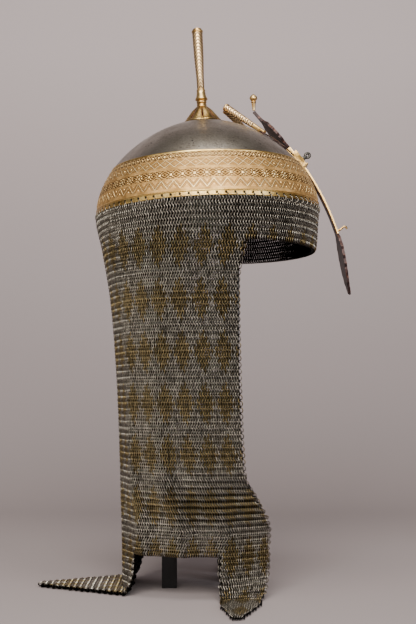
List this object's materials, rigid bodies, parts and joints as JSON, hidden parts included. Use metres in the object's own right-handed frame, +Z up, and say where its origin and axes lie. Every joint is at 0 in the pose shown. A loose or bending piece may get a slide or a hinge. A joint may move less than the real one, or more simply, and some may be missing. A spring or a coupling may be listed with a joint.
{
  "type": "kulah khud helmet on its stand",
  "caption": "Domed steel helmet with a gilt band, plume holders, sliding nasal and a hanging mail curtain with lappets, on a plain three-legged stand.",
  "frame": {"origin": "on the floor, under the middle of the whole object's bounding box", "axes": "+X toward the helmet's front (the nasal), +Y to the wearer's left, +Z up"},
  "size_m": [0.2941, 0.2988, 0.5278],
  "materials": {
    "skull_steel": "polished grey steel, with a gilt engraved band",
    "gilding": "worn gilding",
    "screw_steel": "plain dull steel",
    "mail": "fine steel rings with brass rings in lozenges",
    "stand_paint": "satin black",
    "felt": "black felt"
  },
  "bodies": {
    "helmet": {"bowl": "skull_steel", "finial_base": "gilding", "finial_socket": "gilding", "plume_holder_right": "gilding", "plume_holder_left": "gilding", "nasal_bracket": "gilding", "aventail": "mail", "stand_frame": "stand_paint", "stand_pad": "felt"},
    "nasal": {"nasal_bar": "gilding", "nasal_finial": "gilding", "nasal_hook": "gilding"},
    "screw": {"thumb_screw": "screw_steel"}
  },
  "joints": [
    {"name": "nasal_slide", "type": "hinge", "parent": "helmet", "child": "nasal", "pos_m": [-0.0941, 0, 0.25805], "axis": [0, -1, 0], "range_deg": [0, 8.8]},
    {"name": "screw_turn", "type": "hinge", "parent": "helmet", "child": "screw", "pos_m": [0.09975, 0, 0.40307], "axis": [0.8007, 0, 0.599], "range_deg": [0, 360]}
  ]
}
